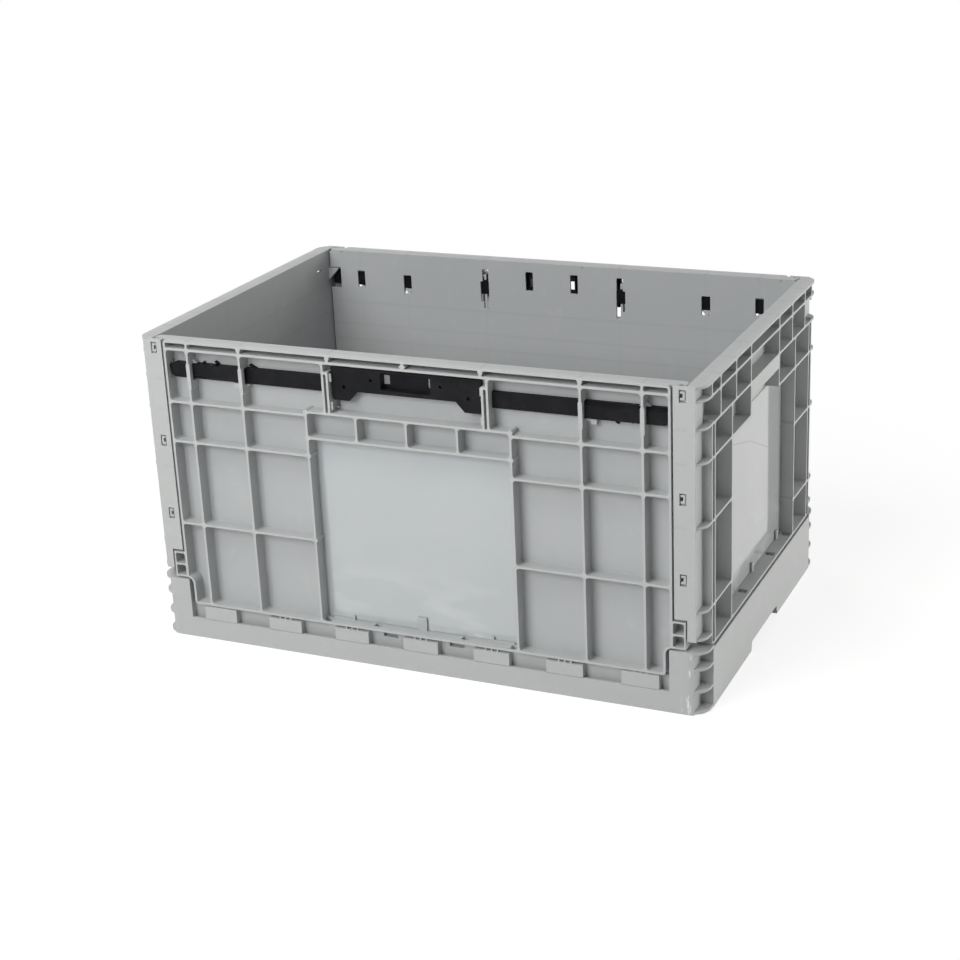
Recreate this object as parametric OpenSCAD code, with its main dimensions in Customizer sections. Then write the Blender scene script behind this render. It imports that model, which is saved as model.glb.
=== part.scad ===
// Collapsible storage crate: a base tray, four ribbed walls and a slide latch in each long wall.
// Millimetres, +Z up, X along the length, the latch wall in the photograph faces -Y.
// The origin is the middle of the footprint on the ground.

/* [Crate] */
// Outer length of the base
crate_l = 600; // [560:1:640]
// Outer width of the base
crate_w = 400; // [370:1:430]
// Height of the erected crate
crate_h = 326; // [306:1:346]
// Radius of the upright corners of the base
corner_r = 18; // [16:0.5:20]

/* [Walls] */
// Thickness of a wall over its ribs
wall_t = 17; // [15:0.5:18]
// Thickness of the flat skin behind the ribs
skin_t = 2.5; // [2:0.1:3]
// Thickness of a rib
rib_t = 2.4; // [1.8:0.1:3]
// Radius in the corners of the cells between ribs
cell_r = 3; // [1.5:0.1:4]
// How far the walls stand back from the outer face of the base
face_inset = 1.5; // [0.8:0.1:2.5]
// Depth of the rim along the top of every wall
rim_h = 2.5; // [2:0.1:3.5]

/* [Long wall ribs] */
// Gap between a long wall and the post beside it
post_gap = 2; // [1.5:0.1:3]
// Width of the narrow column at each end
edge_col_w = 27; // [22:1:32]
// Width of the next column
outer_col_w = 60; // [50:1:70]
// Width of the label field
label_w = 218; // [205:1:230]
// Depth of the slot row from the top to its rib
slot_row = 9; // [8:0.5:10]
// Depth from the top to the rib under the latch
latch_row = 64.5; // [62:0.5:68]
// Depth from the top to the sill under the handle
sill_row = 61; // [60:0.5:61.5]
// Depth from the top to the head of the label field
label_row = 88; // [84:1:92]
// Depth from the top to the rib below the label head
mid_row = 107; // [100:1:115]
// Pitch of the small cells over the label field
small_cell_w = 54; // [50:1:56]

/* [End wall ribs] */
// Depth from the top to the first, second and third rib
end_row_1 = 14; // [12:0.5:18]
end_row_2 = 41; // [36:1:48]
end_row_3 = 74; // [68:1:82]
// Depth from the top to the fourth rib
end_row_4 = 136; // [126:1:146]
// Height of the lowest rib above the foot of the wall
end_row_low = 41; // [34:1:48]
// Half widths of the label field, below and above its step
end_label_w = 112; // [104:1:118]
end_label_step = 50; // [44:1:56]
// Distance between the upright ribs of the two top rows
end_col_w = 49; // [44:1:50]
// Width of the narrow column beside each post
end_edge_w = 10; // [8:0.5:12]

/* [Base] */
// Height of the floor's underside
floor_z = 8.5; // [7:0.5:10]
// Thickness of the floor
floor_t = 3; // [2.5:0.1:4]
// Height of the front rail
rail_h = 22; // [20:0.5:24]
// Height of the hinge tabs above the rail
tab_h = 14.5; // [13:0.5:16]
// Height of the corner blocks
corner_h = 65; // [62:0.5:68]
// Thickness of the outer plates
plate_t = 3; // [2.5:0.1:3.5]
// Length of a corner block along the long side
block_l = 36; // [34:0.5:38]
// Half width of the notch under each end plate
notch_w = 48; // [40:1:60]
// Height of that notch
notch_h = 10; // [6:0.5:12]

/* [Hinges] */
// Diameter of a hinge rod
rod_d = 5; // [4:0.1:6]
// Radius of the knuckles round a rod
knuckle_r = 5.5; // [5:0.1:6]
// Number of hinge tabs on each long side
tab_count = 7; // [6:1:8]
// Width of the hinge tabs on the long sides
tab_w = 38; // [34:1:42]
// Distance from a corner block to the nearest tab
tab_margin = 13.1; // [10:0.1:16]
// Number of hinge knuckles on each end plate
end_tab_count = 5; // [4:1:6]
// Width of the hinge knuckles on the end plates
end_tab_w = 30; // [26:1:34]
// Distance from a corner to the nearest knuckle
end_tab_margin = 30.5; // [26:0.5:36]
// Gap between the layers of the folded crate
fold_gap = 1.5; // [1:0.1:2]

/* [Posts] */
// How far a post wraps round onto the long side
post_wrap = 29.5; // [27:0.5:31]
// Height of the gap between the base corner and the post
post_lift = 11; // [9:0.5:13]
// Width of the ear at the foot of a long wall
ear_w = 13; // [11:0.5:13.5]
// Height of that ear
ear_h = 28; // [24:1:30]
// Height of a clip window in a post
clip_h = 13; // [10:0.5:14]

/* [Latch] */
// Width of the handle
handle_w = 160; // [150:1:161]
// Height of the handle at its legs
handle_h = 34; // [32:0.5:36]
// Height of the handle over the grip
handle_mid_h = 24; // [22:0.5:26]
// Travel of the handle, and of each bar
latch_travel = 12; // [10:0.5:12.5]
// Height of a latch bar
bar_h = 16; // [14:0.5:17]
// Thickness of a latch bar
bar_t = 4.9; // [4:0.1:5.2]
// Distance from a bar's tip to the end wall
tip_gap = 3; // [2.5:0.1:5]
// Width of the grip opening
grip_w = 53; // [46:1:56]
// Radius of the drive pin on a bar
pin_r = 3; // [2.5:0.1:3.2]

/* [Fits] */
// Clearance between sliding faces
slide_gap = 0.5; // [0.4:0.05:0.7]
// Radial clearance of a wall knuckle on its rod
rod_gap = 0.1; // [0.05:0.01:0.2]

/* [Hidden] */
$fn = 48;

GREY = "#b4b8b6";
DARK = "#232124";
CLEAR = "#c6ccd2";
STEEL = "#9a9ca0";

// Faces of the walls, as distances from the middle
half_l = crate_l / 2;
half_w = crate_w / 2;
long_out = half_w - face_inset;
long_in = long_out - wall_t;
long_skin = long_in + skin_t;
end_out = half_l - face_inset;
end_in = end_out - wall_t;
end_skin = end_in + skin_t;
post_r = corner_r - face_inset;

// Heights, from the ground up
floor_top = floor_z + floor_t;
layer = wall_t + fold_gap;
hinge_in = 2.5;
hinge_lift = knuckle_r + slide_gap;
front_axis_z = floor_top + hinge_lift;
rear_axis_z = front_axis_z + layer;
end_axis_z = rear_axis_z - hinge_in + layer + knuckle_r;
long_axis_y = long_in + hinge_in;
end_axis_x = end_in + knuckle_r;
foot_gap = 1;
front_foot = rail_h + tab_h + foot_gap;
rear_foot = front_foot + layer;
end_foot = end_axis_z + knuckle_r + foot_gap;
end_plate_h = end_foot - 2 * foot_gap;
post_foot = corner_h + post_lift;
ear_foot = corner_h + 2 * foot_gap;
recess = 8;
corner_side = 8.5;
rail_pocket = 9;
seam = 0.8;
well_w = corner_r + recess;

// Hinge tabs, as places along their side
tab_reach = half_l - block_l - tab_margin;
tab_pitch = (2 * tab_reach - tab_w) / (tab_count - 1);
end_tab_reach = half_w - corner_r - corner_side - end_tab_margin;
end_tab_pitch = (2 * end_tab_reach - end_tab_w) / (end_tab_count - 1);
rod_end = 2;
tab_shift = 3;
tab_drop = 1.2;
land_w = 1.6;
land_h = 0.7;
land_count = 3;

// Long wall outline
wall_hw = end_out - post_wrap - post_gap;
step_r = 7;
foot_r = 3.5;
top_r = 3.5;
pad_r = 2.6;
foot_hw = wall_hw - step_r;
edge_rib_x = wall_hw - edge_col_w;
outer_rib_x = edge_rib_x - outer_col_w;
label_x = label_w / 2;
half_rib = rib_t / 2;
slot_z = crate_h - slot_row;
latch_z = crate_h - latch_row;
sill_z = crate_h - sill_row;
label_z = crate_h - label_row;
mid_z = crate_h - mid_row;

// Latch
bay_hw = handle_w / 2 + 1;
guide_gap = 5;
guide_x = [bay_hw + half_rib, bay_hw + half_rib + guide_gap];
guide_top = slot_z - 9;
lip_t = 1.7;
lip_w = 2.2;
lip_h = 8;
handle_t = 4.1;
handle_top = slot_z - half_rib - 2.5;
handle_foot = handle_top - handle_h;
handle_mid = handle_top - handle_mid_h;
leg_w = 18;
leg_slope = 9;
bar_back = long_skin + slide_gap;
bar_front = bar_back + bar_t;
handle_back = bar_front + slide_gap;
handle_front = min(handle_back + handle_t, long_out - lip_t - slide_gap);
bar_z = handle_foot + 14;
bar_low = bar_z - bar_h / 2;
bar_high = bar_z + bar_h / 2;
bar_end = 60;
pin_x = bar_end + 6;
pin_l = 2.4;
bar_tip = end_in - tip_gap;
bar_deep_x = outer_rib_x;
bar_deep_end = wall_hw - rib_t;
bar_deep = bar_front + 3.5;
tip_cut = 4;
sleeve_t = 0.9;
sleeve_drop = 10;
gusset = 3.5;
grip_low = handle_mid + 4;
grip_high = handle_top - 2.5;
pocket_t = 1.5;
pocket_hw = grip_w / 2 + pocket_t;
peep_w = 6.5;
peep_z = [grip_low + 4, grip_high - 4];

// Posts and keepers
plate_end_x = end_out - 8.5;
post_in = end_out - post_wrap;
clip_z = [crate_h - 8.5, crate_h - mid_row - 0.5, crate_h - 187.5];
clip_w = 6.5;
clip_x = post_in + 9;
clip_slot = clip_w / 2 - 3.1;
keeper_t = 3;
keeper_x = [post_in + 4, end_in];
keeper_foot = ear_foot + ear_h + 6;
wedge_z = [bar_low + 5.2, bar_high + 3.2];
wedge_nose = wall_hw + 1.5;
wedge_in = 3;
wedge_slope = (wedge_z[1] - wedge_z[0]) / (end_in - wedge_nose);
beak_gap = 2 * slide_gap;

// Labels
label_t = 0.7;
label_margin = 1.8;
label_lift = rib_t + 0.5;
hook_w = 5;
hook_h = 10;
hook_t = 2;
mid_hook_w = 10;
mid_hook_rise = 4;
finger_x = [0.7 * label_x, 0.92 * label_x];
finger_h = 1.5;
shelf_edge = 2;
wide_slot_w = 9;
small_slot_x = 0.445 * label_x;
small_slot_w = 7.5;
small_slot_deep = 5;
end_lip_h = 13.5;
end_lip_t = 2;

// Points of an arc of radius r about (cx, cy), from angle a to angle b
function arc(cx, cy, r, a, b, n = 3) =
    [for (i = [0:n]) [cx + r * cos(a + (b - a) * i / n), cy + r * sin(a + (b - a) * i / n)]];

// Rectangle between two corners, with rounded corners
module cell(x0, y0, x1, y1, r = cell_r) {
    polygon(concat(
        arc(x1 - r, y1 - r, r, 0, 90), arc(x0 + r, y1 - r, r, 90, 180),
        arc(x0 + r, y0 + r, r, 180, 270), arc(x1 - r, y0 + r, r, 270, 360)));
}

// The same cell on both sides of the middle
module cell_pair(x0, y0, x1, y1, r = cell_r) {
    cell(x0, y0, x1, y1, r);
    mirror([1, 0]) cell(x0, y0, x1, y1, r);
}

// Plain rectangle between two corners
module rect(x0, y0, x1, y1) {
    translate([x0, y0]) square([x1 - x0, y1 - y0]);
}

// Box between two corners
module block(x0, y0, z0, x1, y1, z1) {
    translate([x0, y0, z0]) cube([x1 - x0, y1 - y0, z1 - z0]);
}

// Plate drawn in X and Z, from depth y0 to y1 on the front side
module front_slab(y0, y1) {
    translate([0, -y0, 0]) rotate([90, 0, 0]) linear_extrude(y1 - y0) children();
}

// Plate drawn in Y and Z, from depth x0 to x1 on the right side
module end_slab(x0, x1) {
    translate([x0, 0, 0]) rotate([90, 0, 90]) linear_extrude(x1 - x0) children();
}

module both_x() {
    children();
    mirror([1, 0, 0]) children();
}

module both_y() {
    children();
    mirror([0, 1, 0]) children();
}

// Footprint of the crate, drawn in from the base's outer face by d
module footprint(d) {
    r = corner_r - d;
    x = half_l - d;
    y = half_w - d;
    hull_free_rect(x, y, r);
}

// Rectangle of half sizes x and y with round corners of true arcs
module hull_free_rect(x, y, r) {
    square([2 * x, 2 * (y - r)], center = true);
    square([2 * (x - r), 2 * y], center = true);
    for (sx = [-1, 1], sy = [-1, 1])
        translate([sx * (x - r), sy * (y - r)]) circle(r);
}

// Right-hand edge of a long wall from its foot upward, drawn in by d
function wall_edge(foot, d) =
    let (sr = min(step_r, ear_foot - foot - foot_r - 0.5))
    concat(
        arc(foot_hw - foot_r, foot + foot_r, foot_r - d, 270, 360),
        arc(foot_hw + sr, ear_foot - sr, sr + d, 180, acos(-d / (sr + d)), 6),
        [[wall_hw - d, ear_foot + d]]);

function flipped(points) =
    [for (i = [len(points) - 1:-1:0]) [-points[i][0], points[i][1]]];

// Face of a long wall, with its feet stepped in over the base corners
module wall_face(foot) {
    edge = concat(wall_edge(foot, 0), arc(wall_hw - top_r, crate_h - top_r, top_r, 0, 90));
    polygon(concat(edge, flipped(edge)));
}

// Lowest cell at the edge of a long wall, which follows the step
module foot_cell(foot, head) {
    inner = edge_rib_x + half_rib;
    polygon(concat(
        wall_edge(foot, rib_t),
        arc(wall_hw - rib_t - cell_r, head - cell_r, cell_r, 0, 90),
        arc(inner + cell_r, head - cell_r, cell_r, 90, 180),
        arc(inner + cell_r, foot + rib_t + cell_r, cell_r, 180, 270)));
}

// Cells of the columns outside the label field, for the row between two ribs
module row_cells(low, high, inner) {
    cell_pair(edge_rib_x + half_rib, low, wall_hw - rib_t, high);
    cell_pair(outer_rib_x + half_rib, low, edge_rib_x - half_rib, high);
    cell_pair(inner, low, outer_rib_x - half_rib, high);
}

// Height of the lowest rib across the columns
function low_rib(foot) = (mid_z + foot + half_rib) / 2;

// All the hollows in the face of a long wall
module wall_cells(foot) {
    low_z = low_rib(foot);
    latch_low = latch_z + half_rib;
    latch_high = slot_z - half_rib;
    guide_out = guide_x[1] + half_rib;
    // slots under the rim
    slot_low = slot_z + half_rib;
    slot_high = crate_h - rim_h;
    slot_r = min(1.5, (slot_high - slot_low) / 2 - 0.2);
    cell_pair(edge_rib_x + half_rib, slot_low, wall_hw - rib_t, slot_high, slot_r);
    cell_pair(outer_rib_x + half_rib, slot_low, edge_rib_x - half_rib, slot_high, slot_r);
    cell_pair(bay_hw + half_rib, slot_low, outer_rib_x - half_rib, slot_high, slot_r);
    cell_pair(half_rib, slot_low, bay_hw - half_rib, slot_high, slot_r);
    // latch row
    row_cells(latch_low, latch_high, label_x + half_rib);
    cell_pair(guide_out, sill_z + half_rib, outer_rib_x - half_rib, latch_high);
    cell_pair(guide_x[0] + half_rib, sill_z + half_rib, guide_x[1] - half_rib, guide_top - rib_t, 1);
    cell_pair(bay_hw - 2 * cell_r, guide_top, guide_x[1] - half_rib, latch_high, 1);
    cell(-bay_hw, sill_z + half_rib, bay_hw, latch_high, 1);
    // small cells over the label field
    for (i = [0, 1])
        cell_pair(i * small_cell_w + half_rib, label_z + half_rib,
            i == 0 ? small_cell_w - half_rib : label_x - half_rib, sill_z - half_rib);
    // side columns and label field
    row_cells(mid_z + half_rib, latch_z - half_rib, label_x + half_rib);
    row_cells(low_z + half_rib, mid_z - half_rib, label_x + half_rib);
    cell_pair(outer_rib_x + half_rib, foot + rib_t, edge_rib_x - half_rib, low_z - half_rib);
    cell_pair(label_x + half_rib, foot + rib_t, outer_rib_x - half_rib, low_z - half_rib);
    foot_cell(foot, low_z - half_rib);
    mirror([1, 0]) foot_cell(foot, low_z - half_rib);
    cell(-label_x + half_rib, foot + rib_t, label_x - half_rib, label_z - half_rib);
}

// Swollen dividers in the slot row: wedges beside the columns and a diamond in the middle
module slot_marks() {
    high = crate_h - rim_h;
    low = slot_z;
    for (s = [-1, 1], x = [outer_rib_x, bay_hw])
        translate([s * x, 0])
            polygon([[-3, high + 0.5], [3, high + 0.5], [half_rib, low + 1], [-half_rib, low + 1]]);
    translate([0, (high + low) / 2])
        polygon([[-3.4, 0], [0, -4], [3.4, 0], [0, 4]]);
}

// Round pads where ribs cross, and the thick stretch of a column rib round its bar
module rib_pads(foot) {
    for (s = [-1, 1], z = [sill_z, label_z, mid_z, low_rib(foot)])
        translate([s * label_x, z]) circle(pad_r);
    for (s = [-1, 1], x = [edge_rib_x, outer_rib_x])
        translate([s * x, 0]) {
            translate([0, slot_z]) circle(pad_r);
            rib_sleeve();
        }
}

// Outline of the thick stretch of a column rib, tapered at both ends
module rib_sleeve() {
    w = half_rib + sleeve_t;
    low = bar_low - sleeve_drop;
    right = [[half_rib, low], [w, low + 2], [w, bar_high], [half_rib, bar_high + 2]];
    polygon(concat(right, flipped(right)));
}

// Windows through the skin, where the latch shows on the inside
module skin_windows() {
    high = slot_z - half_rib;
    for (s = [-1, 1]) {
        cell_at(s * edge_rib_x, bar_z - 10, bar_z + 10, 9.5);
        cell_at(s * outer_rib_x, bar_z - 14, bar_z + 8, 10);
        cell_at(s * (guide_x[0] - 1.2), bar_z + 6, high - 1, 7.5);
        cell_at(s * guide_x[0], bar_z - 17, bar_z + 7, 10.5);
        cell_at(s * (guide_x[0] - 1.8), sill_z + half_rib + 2, bar_z - 16, 7);
        cell_at(s * (grip_w / 2 + 0.5), bar_z, high - 1, 9);
    }
}

module cell_at(x, low, high, w) {
    cell(x - w / 2, low, x + w / 2, high, 1);
}

// Even places about a middle: the hinge tabs of a side, and the gaps between them
function places(count, pitch, middle = 0) =
    [for (i = [0:count - 1]) middle + (i - (count - 1) / 2) * pitch];
tab_places = places(tab_count, tab_pitch, tab_shift);
gap_places = places(tab_count - 1, tab_pitch, tab_shift);
end_tab_places = places(end_tab_count, end_tab_pitch);
end_gap_places = places(end_tab_count - 1, end_tab_pitch);

// Long wall for the front, with its foot and hinge axis at the given heights
module long_wall(foot, axis_z) {
    lug_w = tab_pitch - tab_w - 2 * foot_gap;
    difference() {
        union() {
            front_slab(long_skin, long_out) {
                difference() {
                    wall_face(foot);
                    wall_cells(foot);
                }
                slot_marks();
                rib_pads(foot);
            }
            front_slab(long_in, long_skin)
                difference() {
                    wall_face(foot);
                    skin_windows();
                }
            both_x() wall_ear();
            both_x() wall_flange();
            both_x() handle_lips();
            both_x() bar_rest();
            both_x() bar_gussets();
            both_x() rim_tongue();
            wall_hooks(foot);
            for (x = gap_places) {
                block(x - lug_w / 2, -long_axis_y - 4, axis_z, x + lug_w / 2, -long_in, foot + rib_t);
                translate([x - lug_w / 2, -long_axis_y, axis_z])
                    rotate([0, 90, 0]) cylinder(r = knuckle_r, h = lug_w);
            }
        }
        both_x() bar_way();
        both_x() shelf_slots(foot);
        translate([-half_l, -long_axis_y, axis_z])
            rotate([0, 90, 0]) cylinder(r = rod_d / 2 + rod_gap, h = crate_l);
    }
}

// Ear at the foot of a long wall, with two square pockets
module wall_ear() {
    wall = 1.6;
    pocket_h = (ear_h - 3 * wall) / 2;
    difference() {
        front_slab(long_in, long_out)
            rect(wall_hw - rib_t, ear_foot, wall_hw + ear_w, ear_foot + ear_h);
        for (i = [0, 1])
            front_slab(long_in + skin_t, long_out + 1)
                cell(wall_hw + 0.4, ear_foot + wall + i * (pocket_h + wall),
                    wall_hw + ear_w - wall, ear_foot + wall + i * (pocket_h + wall) + pocket_h, 2);
    }
}

// Edge of the skin that reaches behind the post, open where the latch engages
module wall_flange() {
    tip = end_in - foot_gap;
    open_h = wedge_z[1] - bar_z + foot_gap;
    front_slab(long_in, long_skin)
        difference() {
            rect(wall_hw - 1, ear_foot, tip, crate_h - rim_h + 0.5);
            rect(wall_hw, bar_z - open_h, tip + 1, bar_z + open_h);
        }
}

// Short lips that keep the handle in its guide
module handle_lips() {
    back = handle_front + slide_gap;
    for (z = [sill_z + half_rib + 3, guide_top - lip_h - 2])
        block(bay_hw - lip_w, -back - lip_t, z, bay_hw + half_rib, -back, z + lip_h);
}

// Small rest under each bar, beside its column rib
module bar_rest() {
    top = bar_low - slide_gap;
    block(outer_rib_x + 7, -bar_front - 1, top - 5.5, outer_rib_x + 13, -long_skin, top);
}

// Gussets on both sides of a column rib: over the bar at the edge column, under it at the next
module bar_gussets() {
    w = half_rib + sleeve_t + gusset;
    front_slab(long_skin, bar_front + 1) {
        translate([edge_rib_x, bar_high + slide_gap]) polygon([[-w, 0], [w, 0], [0, gusset + 2]]);
        translate([outer_rib_x, bar_low - slide_gap]) polygon([[-w, 0], [0, -gusset - 2], [w, 0]]);
    }
}

// End of the rim that reaches behind the post's plate, with a round inner corner and a half-moon gap
module rim_tongue() {
    tip = end_in - foot_gap;
    front = -long_out + plate_t + 2;
    round_r = 6;
    notch_r = 3;
    translate([0, 0, crate_h - rim_h]) linear_extrude(rim_h)
        difference() {
            polygon(concat(
                [[wall_hw - top_r - 1, front], [tip, front]],
                arc(tip - round_r, -long_in - round_r, round_r, 0, 90),
                [[wall_hw - top_r - 1, -long_in]]));
            translate([clip_x - 1, front]) circle(notch_r);
        }
}

// Way of a bar through the ribs of the wall, deeper towards its tip
module bar_way() {
    low = bar_low - slide_gap;
    high = bar_high + slide_gap;
    deep_from = bar_deep_x - latch_travel - 1;
    block(bay_hw - 1, -bar_front - slide_gap, low, wall_hw + 1, -long_skin, high);
    block(deep_from, -bar_deep - slide_gap, low, bar_deep_end + slide_gap, -long_skin, high);
}

// Hook and two fingers with a turned-up tip, which hold the lower edge of the label sheet
module wall_hooks(foot) {
    shelf = foot + rib_t;
    back = long_skin + label_t + slide_gap;
    front_slab(back, back + hook_t) {
        rect(-mid_hook_w / 2, shelf - 0.5, mid_hook_w / 2, shelf + hook_h + mid_hook_rise);
        for (s = [0, 1]) mirror([s, 0]) {
            rect(finger_x[0], shelf - 0.5, finger_x[1], shelf + finger_h);
            rect(finger_x[0], shelf - 0.5, finger_x[0] + hook_t, shelf + hook_h / 2);
        }
    }
}

// Slots in the shelf under the label field, and a deeper pocket beside the middle hook
module shelf_slots(foot) {
    field = label_x - half_rib;
    front = -long_out + shelf_edge;
    back = -long_skin - label_t - slide_gap;
    low = foot - 1;
    high = foot + rib_t + 1;
    block(field - wide_slot_w, front, low, field, back - 2 * slide_gap - hook_t, high);
    block(small_slot_x - small_slot_w / 2, front + 2 * shelf_edge, foot - small_slot_deep,
        small_slot_x + small_slot_w / 2, back, high);
}

module front_wall() {
    color(GREY) long_wall(front_foot, front_axis_z);
}

module rear_wall() {
    color(GREY) rotate([0, 0, 180]) long_wall(rear_foot, rear_axis_z);
}

// Upright section of a corner at the right front: the front plate, its return and a web that faces the front.
// out_x and out_y are the outer faces, r the corner radius, front_from where the front plate starts.
module corner_section(out_x, out_y, r, front_from, front_to) {
    side = -out_y + r + corner_side;
    rect(front_from, -out_y, front_to, -out_y + plate_t);
    rect(front_to - rib_t, -out_y, front_to, side);
    rect(front_to - rib_t, side - rib_t, out_x, side);
}

// Quarter rib that bridges the set-back of a corner
module corner_rib(out_x, out_y, r, front_to) {
    intersection() {
        rect(front_to - rib_t, -out_y, out_x, -out_y + r + corner_side);
        hull_free_rect(out_x, out_y, r);
    }
}

// Cells of the two top rows of an end wall
module end_top_cells(low, high) {
    x = [end_label_step, end_label_step + end_col_w, end_label_step + 2 * end_col_w];
    cell(-x[0] + half_rib, low, x[0] - half_rib, high);
    cell_pair(x[0] + half_rib, low, x[1] - half_rib, high);
    cell_pair(x[1] + half_rib, low, x[2] - half_rib, high);
    cell_pair(x[2] + half_rib, low, end_side - rib_t, high);
}

// Cells beside the label field of an end wall
module end_side_cells(low, high) {
    cell_pair(end_label_w + half_rib, low, end_side - end_edge_w - half_rib, high);
    cell_pair(end_side - end_edge_w + half_rib, low, end_side - rib_t + 0.6, high, 2);
}

end_side = long_out - post_r - 6;
end_rows = [for (d = [end_row_1, end_row_2, end_row_3, end_row_4]) crate_h - d];
end_low = end_foot + end_row_low;
end_hook_y = end_label_w - 21;

// Ribs of the right end wall, seen from outside
module end_ribs() {
    difference() {
        rect(-end_side, end_foot, end_side, crate_h);
        end_top_cells(end_rows[0] + half_rib, crate_h - rim_h);
        end_top_cells(end_rows[1] + half_rib, end_rows[0] - half_rib);
        cell_pair(end_label_step + half_rib, end_rows[2] + half_rib,
            end_label_w - half_rib, end_rows[1] - half_rib);
        end_side_cells(end_rows[2] + half_rib, end_rows[1] - half_rib);
        end_side_cells(end_rows[3] + half_rib, end_rows[2] - half_rib);
        end_side_cells(end_low + half_rib, end_rows[3] - half_rib);
        end_side_cells(end_foot + rib_t, end_low - half_rib);
        cell(-end_label_w + half_rib, end_foot + rib_t, end_label_w - half_rib, end_rows[2] - half_rib);
        cell(-end_label_step + half_rib, end_foot + rib_t, end_label_step - half_rib,
            end_rows[1] - half_rib);
    }
}

// Right end wall with the two posts that wrap round onto the long sides
module end_wall() {
    lug_w = end_tab_pitch - end_tab_w - 2 * foot_gap;
    difference() {
        union() {
            end_slab(end_skin, end_out) end_ribs();
            end_slab(end_in, end_skin) rect(-end_side, end_foot, end_side, crate_h);
            both_y() post();
            end_slab(end_skin, end_out) end_pads();
            end_hooks();
            end_lip();
            for (y = end_gap_places) {
                block(end_in, y - lug_w / 2, end_axis_z, end_axis_x + 4, y + lug_w / 2, end_foot + rib_t);
                translate([end_axis_x, y - lug_w / 2, end_axis_z])
                    rotate([-90, 0, 0]) cylinder(r = knuckle_r, h = lug_w);
            }
        }
        translate([end_axis_x, -half_w, end_axis_z])
            rotate([-90, 0, 0]) cylinder(r = rod_d / 2 + rod_gap, h = crate_w);
        both_y() clip_windows();
        both_y() end_shelf_slots();
        both_y() latch_cell();
        both_y() block(end_in - 1, -half_w, 0, half_l, -half_w + corner_r + corner_side + foot_gap,
            corner_h + foot_gap);
    }
}

// Round pads where the low ribs meet the label field of an end wall
module end_pads() {
    for (s = [-1, 1], z = [end_rows[3], end_low])
        translate([s * end_label_w, z]) circle(pad_r);
}

// Opening of the second row into the corner, where the latch engages, and a slot in the skin beside it
module latch_cell() {
    low = end_rows[1] + half_rib;
    high = end_rows[0] - half_rib;
    slot_y = end_side - 16;
    slot_top = high - 3.5;
    block(end_skin, -end_side - 1, low, end_out + 1, -end_side + rib_t + 0.1, high);
    block(end_in - 1, -slot_y, slot_top - 2.5, end_skin + 1, -slot_y + 9, slot_top);
}

// One post, at the right front corner
module post() {
    ear_way = ear_foot + ear_h + 2.5;
    difference() {
        union() {
            translate([0, 0, post_foot]) linear_extrude(crate_h - post_foot)
                corner_section(end_out, long_out, post_r, post_in, plate_end_x);
            block(end_in, -long_out + plate_t - 0.5, post_foot, end_skin, -end_side, crate_h);
            block(post_in, -long_out, ear_way, post_in + 2.2, -long_out + plate_t + 1.5, crate_h);
            for (z = concat(end_rows, [end_low, post_foot + rib_t / 2, crate_h - rim_h / 2]))
                translate([0, 0, z - half_rib]) linear_extrude(rib_t)
                    corner_rib(end_out, long_out, post_r, plate_end_x);
            translate([0, 0, crate_h - rim_h]) linear_extrude(rim_h)
                post_cap();
        }
        block(post_in - 1, -long_out - 1, post_foot - 1,
            wall_hw + ear_w + 1.5, -long_out + plate_t, ear_way);
    }
}

// Closed top of a post
module post_cap() {
    intersection() {
        rect(end_in, -long_out, end_out, -end_side);
        hull_free_rect(end_out, long_out, post_r);
    }
}

// Windows in a post's front plate for the keeper's clips
module clip_windows() {
    for (z = clip_z)
        block(clip_x - clip_w / 2, -long_out - 1, z - clip_h / 2,
            clip_x + clip_w / 2, -long_out + plate_t + 1, z + clip_h / 2 - 1);
}

// Hooks that hold the lower edge of the label sheet of an end wall
module end_hooks() {
    back = end_skin + label_t + slide_gap;
    for (y = [-end_hook_y, 0, end_hook_y])
        block(back, y - hook_w / 2, end_foot + rib_t - 0.5,
            back + hook_t, y + hook_w / 2, end_foot + rib_t + hook_h);
}

// Lip that hangs from the head of the label field of an end wall, flush with its face
module end_lip() {
    y = end_label_step - half_rib;
    block(end_out - end_lip_t, -y, end_rows[1] - half_rib - end_lip_h, end_out, y, end_rows[1]);
}

// Slots in the shelf under the label field of an end wall, through it where no hinge is below
module end_shelf_slots() {
    field = end_label_w - half_rib;
    narrow = 4;
    front = end_out - shelf_edge;
    low = end_foot - 1;
    high = end_foot + rib_t + 1;
    back = end_skin + label_t + 2 * slide_gap;
    block(back + hook_t, -field, low, front, -field + 2 * narrow, high);
    block(back, -end_label_step - narrow, low, front - 1, -end_label_step + narrow, high);
}

module right_end_wall() {
    color(GREY) end_wall();
}

module left_end_wall() {
    color(GREY) rotate([0, 0, 180]) end_wall();
}

// Rounded outline of a corner block's front, drawn in by d
module block_front(d) {
    x = half_l - block_l + d;
    top = corner_h - d;
    r = 7 - d;
    polygon(concat([[half_l, 0], [half_l, top]], arc(x + r, top - r, r, 90, 180, 6), [[x, 0]]));
}

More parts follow.
